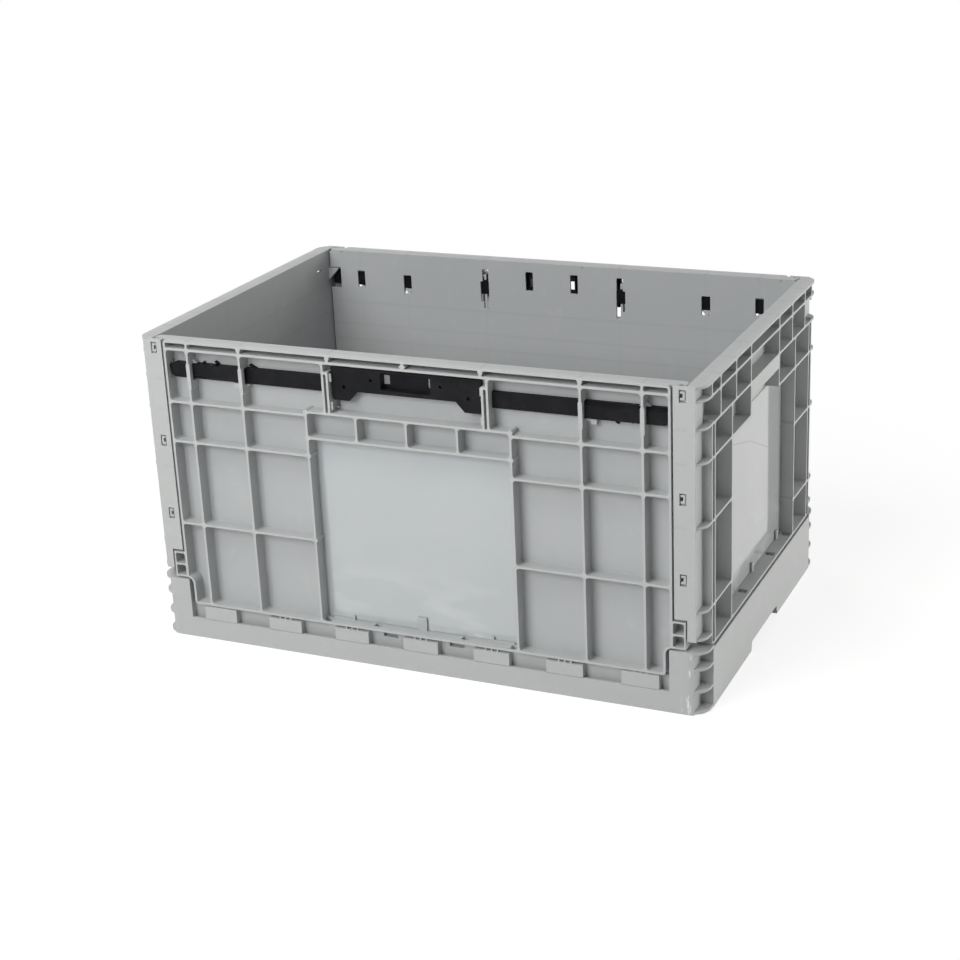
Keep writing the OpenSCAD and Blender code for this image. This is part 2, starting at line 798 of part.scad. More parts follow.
// Corner block of the base, at the right front
module base_corner() {
    plate_end = half_l - 12;
    depth = half_w - long_in - 1;
    intersection() {
        union() {
            front_slab(half_w - plate_t, half_w)
                intersection() {
                    block_front(0);
                    rect(0, 0, plate_end, corner_h);
                }
            front_slab(half_w - depth, half_w)
                difference() {
                    block_front(0);
                    block_front(rib_t);
                    rect(plate_end, -1, half_l, corner_h - rib_t);
                }
            front_slab(half_w - depth, half_w - depth + rib_t)
                intersection() {
                    block_front(0);
                    rect(0, floor_z, end_in, corner_h);
                }
            linear_extrude(corner_h)
                corner_section(half_l, half_w, corner_r, half_l - block_l, plate_end);
            for (z = [rib_t, 24, 47, corner_h - half_rib])
                translate([0, 0, z - half_rib]) linear_extrude(rib_t)
                    corner_rib(half_l, half_w, corner_r, plate_end);
        }
        linear_extrude(corner_h) footprint(0);
    }
}

// Rail, pockets, tabs and hinge knuckles of the front side, with the hinge axis at axis_z
module base_side(lift, axis_z) {
    reach = half_l - block_l + 1;
    rail_top = rail_h + lift;
    shelf = rail_top - rail_pocket;
    full_top = rail_top + tab_h;
    wall_y = half_w - recess;
    slot_x = gap_places[floor(tab_count / 2)] - tab_shift - 2;
    slot_w = 16;
    slot_top = full_top - 2.3;
    slot_h = 4.2;
    difference() {
        union() {
            front_slab(half_w - plate_t, half_w) rect(-reach, 0, reach, rail_top);
            block(-reach, -half_w, shelf - rib_t, reach, -wall_y + 1, shelf);
            block(-reach, -wall_y, 0, reach, -wall_y + 2, full_top - 0.5);
            for (x = tab_places) {
                top = abs(x - tab_shift) > tab_reach - tab_w ? full_top : full_top - tab_drop;
                block(x - tab_w / 2, -half_w, shelf - 1, x + tab_w / 2, -wall_y + 1, top);
                for (land = places(land_count, tab_w / (2 * land_count)))
                    block(x + land - land_w / 2, -half_w + 1, top - 1,
                        x + land + land_w / 2, -wall_y + 1, full_top + land_h);
                block(x - tab_w / 2, -wall_y, floor_z, x + tab_w / 2, -long_axis_y, axis_z + knuckle_r);
                translate([x - tab_w / 2, -long_axis_y, axis_z])
                    rotate([0, 90, 0]) cylinder(r = knuckle_r, h = tab_w);
            }
        }
        translate([-reach, -long_axis_y, axis_z])
            rotate([0, 90, 0]) cylinder(r = rod_d / 2 + rod_gap / 2, h = 2 * reach);
        for (x = tab_places)
            block(x - tab_w / 2, -half_w - 1, rail_top - seam / 2,
                x + tab_w / 2, -half_w + seam, rail_top + seam / 2);
        for (x = [tab_shift - slot_x, tab_shift + slot_x])
            block(x - slot_w / 2, -wall_y - 1, slot_top - slot_h, x + slot_w / 2, -wall_y + 3, slot_top);
    }
}

// Plain end plate of the right end, with the knuckles inside it and a notch under its middle
module base_end() {
    side = half_w - corner_r - corner_side;
    inner_top = end_axis_z - knuckle_r - foot_gap;
    difference() {
        union() {
            end_slab(half_l - plate_t, half_l)
                difference() {
                    rect(-side - rib_t, 0, side + rib_t, end_plate_h);
                    end_notch();
                }
            block(half_l - plate_t - 4, -side, end_plate_h - rib_t, half_l, side, end_plate_h);
            block(end_in, -long_in, floor_z, end_in + 2, long_in, inner_top);
            for (y = end_tab_places) {
                block(end_axis_x, y - end_tab_w / 2, end_axis_z - knuckle_r,
                    half_l - 1, y + end_tab_w / 2, end_axis_z + 3);
                translate([end_axis_x, y - end_tab_w / 2, end_axis_z])
                    rotate([-90, 0, 0]) cylinder(r = knuckle_r, h = end_tab_w);
                block(end_in + 1, y - rib_t, floor_z, half_l - 1, y + rib_t, end_axis_z);
            }
        }
        translate([end_axis_x, -half_w, end_axis_z])
            rotate([-90, 0, 0]) cylinder(r = rod_d / 2 + rod_gap / 2, h = crate_w);
    }
}

// Outline of the notch under an end plate
module end_notch() {
    polygon([[-notch_w, -1], [-notch_w + 3, notch_h], [notch_w - 3, notch_h], [notch_w, -1]]);
}

// Ribs and rim under the floor
module under_ribs() {
    nx = 12;
    ny = 8;
    dx = (crate_l - 2 * plate_t) / nx;
    dy = (crate_w - 2 * plate_t) / ny;
    difference() {
        footprint(0);
        intersection() {
            footprint(plate_t);
            for (i = [0:nx - 1], j = [0:ny - 1])
                translate([-half_l + plate_t + (i + 0.5) * dx, -half_w + plate_t + (j + 0.5) * dy])
                    square([dx - rib_t, dy - rib_t], center = true);
        }
    }
}

// Open wells under the four corner blocks
module corner_wells() {
    for (sx = [-1, 1], sy = [-1, 1])
        translate([sx * half_l, sy * half_w]) square(2 * well_w, center = true);
}

module base_tray() {
    color(GREY) difference() {
        union() {
            translate([0, 0, floor_z]) linear_extrude(floor_t)
                difference() {
                    square([2 * (half_l - 1), 2 * (half_w - recess + 1)], center = true);
                    corner_wells();
                }
            linear_extrude(floor_z)
                difference() {
                    under_ribs();
                    corner_wells();
                }
            both_x() both_y() base_corner();
            base_side(0, front_axis_z);
            rotate([0, 0, 180]) base_side(layer, rear_axis_z);
            both_x() base_end();
        }
        both_x() end_slab(half_l - plate_t - 6, half_l + 1) end_notch();
    }
}

// Hinge rods
module long_rod(axis_z) {
    reach = tab_reach + rod_end;
    color(STEEL) translate([tab_shift - reach, -long_axis_y, axis_z])
        rotate([0, 90, 0]) cylinder(d = rod_d, h = 2 * reach);
}

module end_rod() {
    reach = end_tab_reach + rod_end;
    color(STEEL) translate([end_axis_x, -reach, end_axis_z])
        rotate([-90, 0, 0]) cylinder(d = rod_d, h = 2 * reach);
}

module front_hinge_rod() {
    long_rod(front_axis_z);
}

module rear_hinge_rod() {
    rotate([0, 0, 180]) long_rod(rear_axis_z);
}

module right_hinge_rod() {
    end_rod();
}

module left_hinge_rod() {
    rotate([0, 0, 180]) end_rod();
}

// Outline of the handle: two legs with a raised middle
module handle_face() {
    x = handle_w / 2 - slide_gap;
    right = [
        [x - leg_w - leg_slope, handle_mid], [x - leg_w, handle_foot], [x - 1.5, handle_foot],
        [x, handle_foot + 1.5], [x, handle_top]];
    polygon(concat(right, flipped(right)));
}

// Slanted slot that draws a bar in as the handle goes down
module cam_slot() {
    r = pin_r + 0.3;
    run = latch_travel * sqrt(2);
    translate([pin_x, bar_z]) rotate(135) {
        translate([0, -r]) square([run, 2 * r]);
        circle(r);
        translate([run, 0]) circle(r);
    }
}

// Pull handle of the front latch, pressed down to free the wall, with a pocket for the fingers
module handle() {
    pocket_r = 2;
    color(DARK) difference() {
        union() {
            front_slab(handle_back, handle_front) handle_face();
            front_slab(bar_back, handle_back + 1)
                cell(-pocket_hw, grip_low - pocket_t, pocket_hw, grip_high + pocket_t, pocket_r + pocket_t);
        }
        front_slab(bar_back + pocket_t, handle_front + 1)
            cell(-grip_w / 2, grip_low, grip_w / 2, grip_high, pocket_r);
        both_x() front_slab(bar_back - 1, bar_back + pocket_t + 1)
            rect(grip_w / 2 - peep_w, peep_z[0], grip_w / 2, peep_z[1]);
        both_x() front_slab(handle_back - 1, handle_back + pin_l + slide_gap) cam_slot();
        for (s = [-1, 1], p = [[pin_x, bar_z, 2], [pin_x - 29, bar_z + 9, 1.6]])
            front_slab(handle_back - 1, handle_front + 1)
                translate([s * p[0], p[1]]) circle(p[2]);
    }
}

module front_handle() {
    handle();
}

module rear_handle() {
    rotate([0, 0, 180]) handle();
}

// Outline of the thin stretch of the right-hand bar, with its corners cut at the inner end
module bar_face(x0, x1, cut) {
    polygon([
        [x0, bar_low + cut], [x0 + cut, bar_low], [x1, bar_low], [x1, bar_high],
        [x0 + cut, bar_high], [x0, bar_high - cut]]);
}

// Outline of the deep stretch, with a notch between the cut corners of its outer end
module bar_deep_face(x0, x1) {
    polygon([
        [x0, bar_low], [x1 - 5, bar_low], [x1, bar_low + 2.2], [x1, bar_z - 1], [x1 - 2.2, bar_z + 0.8],
        [x1 - 0.8, bar_z + 2.4], [x1 - 0.8, bar_high - 3], [x1 - 4.5, bar_high], [x0, bar_high]]);
}

// Section of the deep stretch, with its upper front edge cut off
module bar_section() {
    polygon([
        [-bar_back, bar_low], [-bar_deep, bar_low], [-bar_deep, bar_high - tip_cut],
        [-bar_deep + tip_cut, bar_high], [-bar_back, bar_high]]);
}

// Springs on the lower edge of a bar: a slim finger on a turned bar, a hook and a nub
module bar_springs(finger_too) {
    root = 0.6;
    thin = 1;
    finger = outer_rib_x - 6;
    hook = outer_rib_x + 34;
    nub = edge_rib_x - 12.5;
    low = bar_low + root;
    if (finger_too)
        polygon([[finger - 9, low], [finger, low - 4.5], [finger, low - 4.5 + thin], [finger - 6.3, low]]);
    polygon([
        [hook, low], [hook - 3.5, low - 2.5], [hook, low - 4.5], [hook - 1.5, low - 2.5], [hook + 2, low]]);
    polygon([[nub - 1, low], [nub, low - 3], [nub + 1, low]]);
}

// Slanted beak of a bar on a slim neck, which passes under the slope of its wedge
module bar_beak() {
    root = wall_hw - latch_travel;
    neck = 3.2;
    slope_z = wedge_z[0] - beak_gap;
    polygon([
        [root, bar_low + neck], [wall_hw, bar_low + neck], [wall_hw + neck, bar_low],
        [bar_tip - 1, bar_low], [bar_tip, bar_low + 1], [bar_tip, slope_z + tip_gap * wedge_slope],
        [end_in - (bar_high - slope_z) / wedge_slope, bar_high],
        [wall_hw + neck, bar_high], [wall_hw, bar_high - neck], [root, bar_high - neck]]);
}

// Right-hand latch bar of the front wall
module latch_bar(finger_too = false) {
    color(DARK) {
        front_slab(bar_back, bar_front) {
            bar_face(bar_end, bar_deep_x + 1, 2);
            bar_springs(finger_too);
            bar_beak();
        }
        intersection() {
            front_slab(bar_back, bar_deep) bar_deep_face(bar_deep_x, bar_deep_end);
            end_slab(bar_deep_x, bar_deep_end) bar_section();
        }
        front_slab(bar_front - 1, bar_front + pin_l) translate([pin_x, bar_z]) circle(pin_r);
    }
}

// The bar turned over for the left-hand side, with a spring finger more
module turned_bar() {
    translate([0, 0, 2 * bar_z]) rotate([0, 180, 0]) latch_bar(true);
}

module front_right_bar() {
    latch_bar();
}

module front_left_bar() {
    turned_bar();
}

module rear_left_bar() {
    rotate([0, 0, 180]) latch_bar();
}

module rear_right_bar() {
    rotate([0, 0, 180]) turned_bar();
}

// Keeper strip clipped into the right front post, with the wedge over the bar's beak, or under a turned bar's
module keeper(turned) {
    front = long_out - plate_t;
    back = front - keeper_t;
    keeper_top = crate_h - rim_h - 1;
    wedge = [for (z = wedge_z) turned ? 2 * bar_z - z : z];
    color(GREY) {
        front_slab(back, front) difference() {
            cell(keeper_x[0], keeper_foot, keeper_x[1], keeper_top, 1);
            for (z = clip_z)
                rect(clip_x - clip_w / 2, z - clip_h / 2 + 0.5,
                    clip_x + clip_slot - 0.4, min(z + clip_h / 2 - 1, keeper_top - 1.6));
        }
        for (z = clip_z)
            front_slab(front - 0.8, long_out - slide_gap) translate([clip_x, z]) keeper_clip();
        front_slab(long_in - wedge_in, back + 0.5)
            polygon([[end_in, wedge[0]], [end_in, wedge[1]], [wedge_nose, wedge[1]]]);
    }
}

// Outline of a clip in its window, open towards the long wall, with its arms over an opening in the strip
module keeper_clip() {
    low = -clip_h / 2 + 2;
    high = clip_h / 2 - 2.5;
    arm = 2.1;
    difference() {
        rect(-clip_w / 2 + 1, low, clip_w / 2 - 1, high);
        rect(-clip_w / 2, low + arm, clip_slot, high - arm);
    }
}

module front_right_keeper() {
    keeper(false);
}

module front_left_keeper() {
    mirror([1, 0, 0]) keeper(true);
}

module rear_left_keeper() {
    rotate([0, 0, 180]) keeper(false);
}

module rear_right_keeper() {
    mirror([0, 1, 0]) keeper(true);
}

// Clear sheets over the label fields
module long_label(foot) {
    x = label_x - half_rib - label_margin;
    color(CLEAR) front_slab(long_skin, long_skin + label_t)
        cell(-x, foot + label_lift, x, label_z - half_rib - label_margin);
}

module end_label() {
    y = end_label_w - half_rib - label_margin;
    color(CLEAR) end_slab(end_skin, end_skin + label_t)
        cell(-y, end_foot + label_lift, y, end_rows[2] - half_rib - label_margin);
}

module front_label_sheet() {
    long_label(front_foot);
}

module rear_label_sheet() {
    rotate([0, 0, 180]) long_label(rear_foot);
}

module right_label_sheet() {
    end_label();
}

module left_label_sheet() {
    rotate([0, 0, 180]) end_label();
}

base_tray();
front_wall();
rear_wall();
left_end_wall();
right_end_wall();
front_hinge_rod();
rear_hinge_rod();
left_hinge_rod();
right_hinge_rod();
front_handle();
rear_handle();
front_left_bar();
front_right_bar();
rear_left_bar();
rear_right_bar();
front_left_keeper();
front_right_keeper();
rear_left_keeper();
rear_right_keeper();
front_label_sheet();
rear_label_sheet();
left_label_sheet();
right_label_sheet();
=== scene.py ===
"""Looks of a folding storage crate: moulded plastics, label sheets, hinge rods and a white studio."""
import math
from collections import namedtuple

import bpy
import numpy as np
from mathutils import Matrix, Vector


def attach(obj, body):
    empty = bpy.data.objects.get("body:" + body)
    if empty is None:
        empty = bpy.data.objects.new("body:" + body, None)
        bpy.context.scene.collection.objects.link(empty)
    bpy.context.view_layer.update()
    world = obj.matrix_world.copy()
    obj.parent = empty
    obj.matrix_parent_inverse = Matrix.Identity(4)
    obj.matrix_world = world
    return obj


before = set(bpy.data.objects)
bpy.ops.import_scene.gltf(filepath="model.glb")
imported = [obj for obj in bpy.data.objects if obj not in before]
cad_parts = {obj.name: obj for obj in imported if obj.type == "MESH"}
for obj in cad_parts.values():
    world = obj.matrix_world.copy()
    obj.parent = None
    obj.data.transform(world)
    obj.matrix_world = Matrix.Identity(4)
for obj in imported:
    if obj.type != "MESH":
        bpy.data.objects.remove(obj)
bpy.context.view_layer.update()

# Lengths are in metres; MM turns millimetres into them
MM = 0.001
CORNERS = ("front_left", "front_right", "rear_left", "rear_right")
KEEPERS = [corner + "_keeper" for corner in CORNERS]
BARS = [corner + "_bar" for corner in CORNERS]

# Sockets of the Mix node, several of which share a name
FACTOR, FLOAT_A, FLOAT_B, COLOUR_A, COLOUR_B = 0, 2, 3, 6, 7


def linear(code):
    """Linear colour with full alpha from an sRGB hex value."""
    srgb = [int(code[i:i + 2], 16) / 255 for i in (1, 3, 5)]
    return [c / 12.92 if c <= 0.04045 else ((c + 0.055) / 1.055) ** 2.4 for c in srgb] + [1.0]


def add(tree, kind, inputs=None, **settings):
    """Add one node and return it.

    Settings go to the node's properties. An input takes a value, a socket, or a node, whose first
    output in use is linked.
    """
    node = tree.nodes.new(kind)
    for name, value in settings.items():
        setattr(node, name, value)
    for name, value in (inputs or {}).items():
        if isinstance(value, bpy.types.Node):
            value = next(socket for socket in value.outputs if socket.enabled)
        if isinstance(value, bpy.types.NodeSocket):
            tree.links.new(value, node.inputs[name])
        else:
            node.inputs[name].default_value = value
    return node


def new_material(name):
    """Empty node material, its tree, and the place on the piece in metres."""
    material = bpy.data.materials.new(name)
    material.use_nodes = True
    tree = material.node_tree
    tree.nodes.clear()
    return material, tree, add(tree, "ShaderNodeTexCoord").outputs["Object"]


def dress(names, material):
    """Give the named CAD nodes their material."""
    for name in names:
        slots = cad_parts[name].data.materials
        slots.clear()
        slots.append(material)


# Greys of the moulding: the body from dark to light, its outer ribs (painted light with some
# handling), rubbed patches and the painted edge highlights, sink lines, scuffs
BODY = ("#afb2b3", "#b8babb")
OUTER_LIT_AND_HANDLED = "#bcbebd"
# The light grey of the rubbed patches and of the painted highlight along every edge
RUBBED_AND_HIGHLIGHT = "#d2d4d1"
SUNK = "#85898b"
SCUFFED = "#eceeec"
GREY_SATIN = (0.52, 0.4)
POLYPROPYLENE_IOR = 1.49

# What stands out, such as the ribs' fronts, the rims and the posts, lies this far from the middle
OUTER_X = (289 * MM, 297 * MM)
OUTER_Y = (189 * MM, 197 * MM)
RIM_TOP = 325.5 * MM

# Sizes of the flow clouds and of the rubbed patches, with the noise that starts and fills a patch
FLOW_CLOUD = 90 * MM
RUB_PATCH = 16 * MM
RUB_LEVELS = (0.58, 0.78)
RUB_SHARE = 0.2

# The real grain is about 0.1 mm wide; it is drawn at 1.2 mm so that it shows
GREY_GRAIN = 1.2 * MM
GRAIN_DEPTH = 0.1 * MM

# Rounding of the moulded edges, and the cosines of its turn at which the painted edge highlight starts
# and is full
EDGE_RADIUS = 0.5 * MM
HIGHLIGHT_TURN = (0.985, 0.8)
HIGHLIGHT_SHARE = 0.55

# Sink lines: the axis across the wall, its inner face, the ribs' places along it and their heights
SinkLines = namedtuple("SinkLines", "across face places heights")
LONG_SINKS = SinkLines("Y", 181.8 * MM, [81 * MM, 180 * MM, 240 * MM], [219 * MM, 238 * MM, 265 * MM])
END_SINKS = SinkLines("X", 281.8 * MM, [50 * MM, 100 * MM, 150 * MM], [190 * MM, 252 * MM, 285 * MM])
SINK_SHARE = 0.16
UPRIGHT_SINK_SHARE = 0.4
RIM_SINK_GAIN = 4.0
UPRIGHT_SINK_HALF, LEVEL_SINK_HALF = 3 * MM, 2 * MM
# Lengths that hold every place and every height
PLACE_REACH, HEIGHT_REACH = 300 * MM, 330 * MM

# Scuffs of the base: a strip of one corner's front, up to a height, with marks a millimetre or two
# wide and up to 15 mm long
Scuffs = namedtuple("Scuffs", "from_x to_x top")
BASE_SCUFFS = Scuffs(275 * MM, 288 * MM, 66 * MM)
SCUFF_FADE = 3 * MM
SCUFF_WIDTH = 3.2 * MM
SCUFF_SQUEEZE = 0.22
SCUFF_LEVELS = (0.57, 0.66)
SCUFF_SHARE = 0.8


def rib_lines(tree, value, places, half, reach):
    """1 at each of the places along value, falling to 0 within half on both sides of it."""
    share = add(tree, "ShaderNodeMath", {0: value, 1: 1 / reach}, operation="MULTIPLY")
    ramp = add(tree, "ShaderNodeValToRGB", {"Fac": share})
    stops = ramp.color_ramp.elements
    stops[0].color = stops[1].color = (0, 0, 0, 1)
    for place in places:
        for offset, level in ((-half, 0.0), (0, 1.0), (half, 0.0)):
            stops.new((place + offset) / reach).color = (level, level, level, 1)
    return ramp


def sink_share(tree, x, y, z, sinks):
    """Share of the sink lines, which the rim's top shows more than the wall's inner face."""
    depth, run = (y, x) if sinks.across == "Y" else (x, y)
    inner = add(tree, "ShaderNodeMath", {0: depth, 1: sinks.face}, operation="LESS_THAN")
    rim = add(tree, "ShaderNodeMath", {0: z, 1: RIM_TOP}, operation="GREATER_THAN")
    where = add(tree, "ShaderNodeMath", {0: rim, 1: RIM_SINK_GAIN, 2: inner}, operation="MULTIPLY_ADD")
    upright = rib_lines(tree, run, sinks.places, UPRIGHT_SINK_HALF, PLACE_REACH)
    level = rib_lines(tree, z, sinks.heights, LEVEL_SINK_HALF, HEIGHT_REACH)
    faint = add(tree, "ShaderNodeMath", {0: upright, 1: UPRIGHT_SINK_SHARE}, operation="MULTIPLY")
    either = add(tree, "ShaderNodeMath", {0: faint, 1: level}, operation="MAXIMUM")
    sunk = add(tree, "ShaderNodeMath", {0: either, 1: where}, operation="MULTIPLY")
    return add(tree, "ShaderNodeMath", {0: sunk, 1: SINK_SHARE}, operation="MULTIPLY")


def scuff_share(tree, place, axes, scuffs):
    """Share of the white scuffs: upright marks within a strip of the outer front face."""
    upright = add(tree, "ShaderNodeMapping", {"Vector": place, "Scale": (1.0, 1.0, SCUFF_SQUEEZE)})
    scratch = add(tree, "ShaderNodeTexNoise", {
        "Vector": upright, "Scale": 1 / SCUFF_WIDTH, "Detail": 4.0})
    share = add(tree, "ShaderNodeMapRange", {
        "Value": scratch, "From Min": SCUFF_LEVELS[0], "From Max": SCUFF_LEVELS[1],
        "To Max": SCUFF_SHARE})
    start = add(tree, "ShaderNodeMapRange", {
        "Value": axes["X"], "From Min": scuffs.from_x, "From Max": scuffs.from_x + SCUFF_FADE})
    stop = add(tree, "ShaderNodeMapRange", {
        "Value": axes["X"], "From Min": scuffs.to_x, "From Max": scuffs.to_x - SCUFF_FADE})
    low = add(tree, "ShaderNodeMath", {0: axes["Z"], 1: scuffs.top}, operation="LESS_THAN")
    front = add(tree, "ShaderNodeMath", {0: axes["Y"], 1: -OUTER_Y[1]}, operation="LESS_THAN")
    for limit in (start, stop, low, front):
        share = add(tree, "ShaderNodeMath", {0: share, 1: limit}, operation="MULTIPLY")
    return share


def moulded_grey(name, outer_share, sinks=None, scuffs=None):
    """Polypropylene, injection moulded in a finely eroded tool.

    To the eye it is an even satin grey with broad flow clouds and a very fine grain. Its outer ribs
    are paler, painted light for what they catch over the shaded cells with some bleaching from
    handling; every edge, convex and concave, carries a painted highlight as a light line; thick ribs
    pull dull sink lines into the smooth face behind them, and a corner that meets the ground carries
    a few white scuffs.
    """
    material, tree, place = new_material(name)
    axes = add(tree, "ShaderNodeSeparateXYZ", {"Vector": place}).outputs
    x = add(tree, "ShaderNodeMath", {0: axes["X"]}, operation="ABSOLUTE")
    y = add(tree, "ShaderNodeMath", {0: axes["Y"]}, operation="ABSOLUTE")

    # Painted light: what stands out is paler, for the light it catches over the shaded cells, with some
    # bleaching from handling
    far_x = add(tree, "ShaderNodeMapRange", {
        "Value": x, "From Min": OUTER_X[0], "From Max": OUTER_X[1]})
    far_y = add(tree, "ShaderNodeMapRange", {
        "Value": y, "From Min": OUTER_Y[0], "From Max": OUTER_Y[1]})
    far = add(tree, "ShaderNodeMath", {0: far_x, 1: far_y}, operation="MAXIMUM")
    lit_and_handled = add(tree, "ShaderNodeMath", {0: far, 1: outer_share}, operation="MULTIPLY")

    # Painted highlight: every edge, convex and concave, is lighter where its rounding turns away from the
    # face
    rounded = add(tree, "ShaderNodeBevel", {"Radius": EDGE_RADIUS}, samples=6)
    flat = add(tree, "ShaderNodeNewGeometry").outputs["Normal"]
    turn = add(tree, "ShaderNodeVectorMath", {0: rounded, 1: flat}, operation="DOT_PRODUCT")
    edge = add(tree, "ShaderNodeMapRange", {
        "Value": turn, "From Min": HIGHLIGHT_TURN[0], "From Max": HIGHLIGHT_TURN[1], "To Max": HIGHLIGHT_SHARE})
    rubs = add(tree, "ShaderNodeTexNoise", {
        "Vector": place, "Scale": 1 / RUB_PATCH, "Detail": 5.0, "Roughness": 0.6})
    patch = add(tree, "ShaderNodeMapRange", {
        "Value": rubs, "From Min": RUB_LEVELS[0], "From Max": RUB_LEVELS[1], "To Max": RUB_SHARE})

    layers = [(lit_and_handled, OUTER_LIT_AND_HANDLED), (edge, RUBBED_AND_HIGHLIGHT), (patch, RUBBED_AND_HIGHLIGHT)]
    if sinks:
        layers.append((sink_share(tree, x, y, axes["Z"], sinks), SUNK))
    if scuffs:
        layers.append((scuff_share(tree, place, axes, scuffs), SCUFFED))
    cloud = add(tree, "ShaderNodeTexNoise", {
        "Vector": place, "Scale": 1 / FLOW_CLOUD, "Detail": 3.0})
    tone = add(tree, "ShaderNodeMix", {
        FACTOR: cloud, COLOUR_A: linear(BODY[0]), COLOUR_B: linear(BODY[1])}, data_type="RGBA")
    for share, colour in layers:
        tone = add(tree, "ShaderNodeMix", {
            FACTOR: share, COLOUR_A: tone, COLOUR_B: linear(colour)}, data_type="RGBA")

    grain = add(tree, "ShaderNodeTexNoise", {
        "Vector": place, "Scale": 1 / GREY_GRAIN, "Detail": 2.0})
    bump = add(tree, "ShaderNodeBump", {
        "Height": grain, "Strength": 0.1, "Distance": GRAIN_DEPTH, "Normal": rounded})
    satin = add(tree, "ShaderNodeMapRange", {
        "Value": rubs, "To Min": GREY_SATIN[0], "To Max": GREY_SATIN[1]})
    shader = add(tree, "ShaderNodeBsdfPrincipled", {
        "Base Color": tone, "Roughness": satin, "IOR": POLYPROPYLENE_IOR, "Normal": bump})
    add(tree, "ShaderNodeOutputMaterial", {"Surface": shader})
    return material


# Black of the latch, untouched and rubbed by fingers, with its roughness in both states
BLACK = ("#141417", "#212125")
BLACK_MATT = (0.62, 0.45)
NYLON_IOR = 1.53
FINGER_RUB = 22 * MM
FINGER_LEVELS = (0.42, 0.75)
# Glass fibre mottle of a few tenths of a millimetre, drawn at 0.8 mm so that it shows
FIBRE_MOTTLE = 0.8 * MM


def moulded_black(name):
    """Glass-filled nylon, injection moulded and left matt.

    To the eye it is a deep soft black with a fine mottle, greyer where fingers have rubbed it.
    """
    material, tree, place = new_material(name)
    wear = add(tree, "ShaderNodeTexNoise", {
        "Vector": place, "Scale": 1 / FINGER_RUB, "Detail": 5.0, "Roughness": 0.6})
    worn = add(tree, "ShaderNodeMapRange", {
        "Value": wear, "From Min": FINGER_LEVELS[0], "From Max": FINGER_LEVELS[1]})
    tone = add(tree, "ShaderNodeMix", {
        FACTOR: worn, COLOUR_A: linear(BLACK[0]), COLOUR_B: linear(BLACK[1])}, data_type="RGBA")
    rounded = add(tree, "ShaderNodeBevel", {"Radius": EDGE_RADIUS}, samples=4)
    mottle = add(tree, "ShaderNodeTexNoise", {
        "Vector": place, "Scale": 1 / FIBRE_MOTTLE, "Detail": 2.0})
    bump = add(tree, "ShaderNodeBump", {
        "Height": mottle, "Strength": 0.2, "Distance": GRAIN_DEPTH, "Normal": rounded})
    matt = add(tree, "ShaderNodeMapRange", {
        "Value": wear, "To Min": BLACK_MATT[0], "To Max": BLACK_MATT[1]})
    shader = add(tree, "ShaderNodeBsdfPrincipled", {
        "Base Color": tone, "Roughness": matt, "IOR": NYLON_IOR, "Specular IOR Level": 0.15,
        "Normal": bump})
    add(tree, "ShaderNodeOutputMaterial", {"Surface": shader})
    return material


# Greys seen through the long sides' sheets and, darker as painted shade, through the end sheets; gloss of
# a sheet still clear and of one that has dulled
FRESH_SHEET, FRESH_GLEAM = ("#b2b7b9", "#bcc1c3"), 1.0
SHADED_END_SHEET, DULL_GLEAM = ("#aaadae", "#b4b6b6"), 0.15
SMEARED = "#dde1e3"
SHEET_LINE_GREY = "#808588"
SHEET_GLOSS = (0.08, 0.3)
PVC_IOR = 1.54
# Feet of the sheets on the long sides and on the ends
LONG_FOOT, END_FOOT = 45 * MM, 67 * MM
SHEET_CLOUD = 60 * MM
SHEET_WAVE = 80 * MM
WAVE_DEPTH = 1.0 * MM

# Smears a few centimetres long and a third as high, as a wiping hand leaves them
SMEAR_HEIGHT = 24 * MM
SMEAR_SQUEEZE = 0.35
SMEAR_TOP = 70 * MM
SMEAR_LEVELS = (0.5, 0.66)
SMEAR_SHARE = 0.36

# A thin darker line on a sheet: place of its crown, how it tilts as a whole, how it falls off on both
# sides, half its length
SheetLine = namedtuple("SheetLine", "crown_y crown_z tilt fall half")
RIGHT_SHEET_LINE = SheetLine(-6 * MM, 210 * MM, 0.355, 0.085, 75 * MM)
# Distances across the line at which it ends and is full, and where along it the line thins out
SHEET_LINE_EDGE = (1.2 * MM, 0.2 * MM)
SHEET_LINE_THINS = 0.8
SHEET_LINE_SHARE = 0.5


def sheet_line_share(tree, axes, sheet_line):
    """Share of the darker line: a thin line that tilts along the sheet and bends at its crown."""
    side = add(tree, "ShaderNodeMath", {0: axes["Y"], 1: sheet_line.crown_y}, operation="SUBTRACT")
    away = add(tree, "ShaderNodeMath", {0: side}, operation="ABSOLUTE")
    drop = add(tree, "ShaderNodeMath", {0: away, 1: sheet_line.fall}, operation="MULTIPLY")
    lean = add(tree, "ShaderNodeMath", {0: side, 1: sheet_line.tilt, 2: drop}, operation="MULTIPLY_ADD")
    rise = add(tree, "ShaderNodeMath", {0: axes["Z"], 1: lean}, operation="ADD")
    above = add(tree, "ShaderNodeMath", {0: rise, 1: sheet_line.crown_z}, operation="SUBTRACT")
    height = add(tree, "ShaderNodeMath", {0: above}, operation="ABSOLUTE")
    near = add(tree, "ShaderNodeMapRange", {
        "Value": height, "From Min": SHEET_LINE_EDGE[0], "From Max": SHEET_LINE_EDGE[1]})
    end = add(tree, "ShaderNodeMapRange", {
        "Value": away, "From Min": sheet_line.half, "From Max": SHEET_LINE_THINS * sheet_line.half})
    line = add(tree, "ShaderNodeMath", {0: near, 1: end}, operation="MULTIPLY")
    return add(tree, "ShaderNodeMath", {0: line, 1: SHEET_LINE_SHARE}, operation="MULTIPLY")


